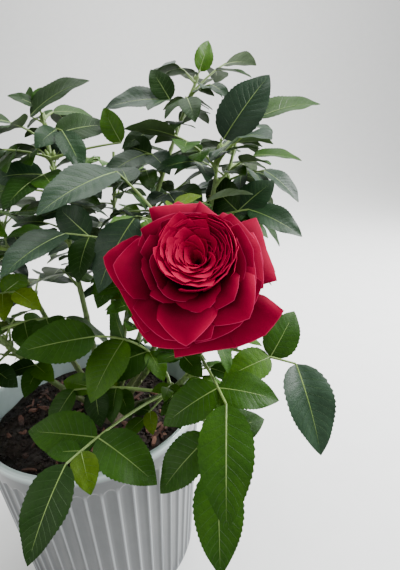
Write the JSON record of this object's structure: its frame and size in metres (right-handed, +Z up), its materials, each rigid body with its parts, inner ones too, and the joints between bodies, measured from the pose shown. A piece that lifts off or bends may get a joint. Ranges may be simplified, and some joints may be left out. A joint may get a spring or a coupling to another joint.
{
  "type": "potted rose bush",
  "caption": "Small rose bush with an open red bloom, growing from a root crown in a ribbed glazed pot of potting soil.",
  "frame": {"origin": "centre of the pot's flat underside, on the surface it stands on", "axes": "+Z up, -Y towards the front, where the bloom faces, +X to the right seen from the front"},
  "size_m": [0.2602, 0.2416, 0.3188],
  "materials": {
    "pot_glaze": "glossy pale grey glaze",
    "soil": "damp dark peat with bark chips",
    "bark": "fissured grey-brown bark",
    "cane": "smooth green bark turning woody",
    "leaf": "satin leaf with pale veins",
    "petal": "velvety red petal"
  },
  "bodies": {
    "root": {"pot": "pot_glaze", "potting_soil": "soil", "root_crown": "bark", "cane_bloom": "cane", "cane_front": "cane", "cane_right": "cane", "cane_right_back": "cane", "cane_top": "cane", "cane_back": "cane", "cane_middle": "cane", "cane_left_back": "cane", "cane_left": "cane", "foliage_bloom": "leaf", "foliage_front": "leaf", "foliage_right": "leaf", "foliage_right_back": "leaf", "foliage_top": "leaf", "foliage_back": "leaf", "foliage_middle": "leaf", "foliage_left_back": "leaf", "foliage_left": "leaf", "rose_bloom": "petal"}
  },
  "joints": []
}
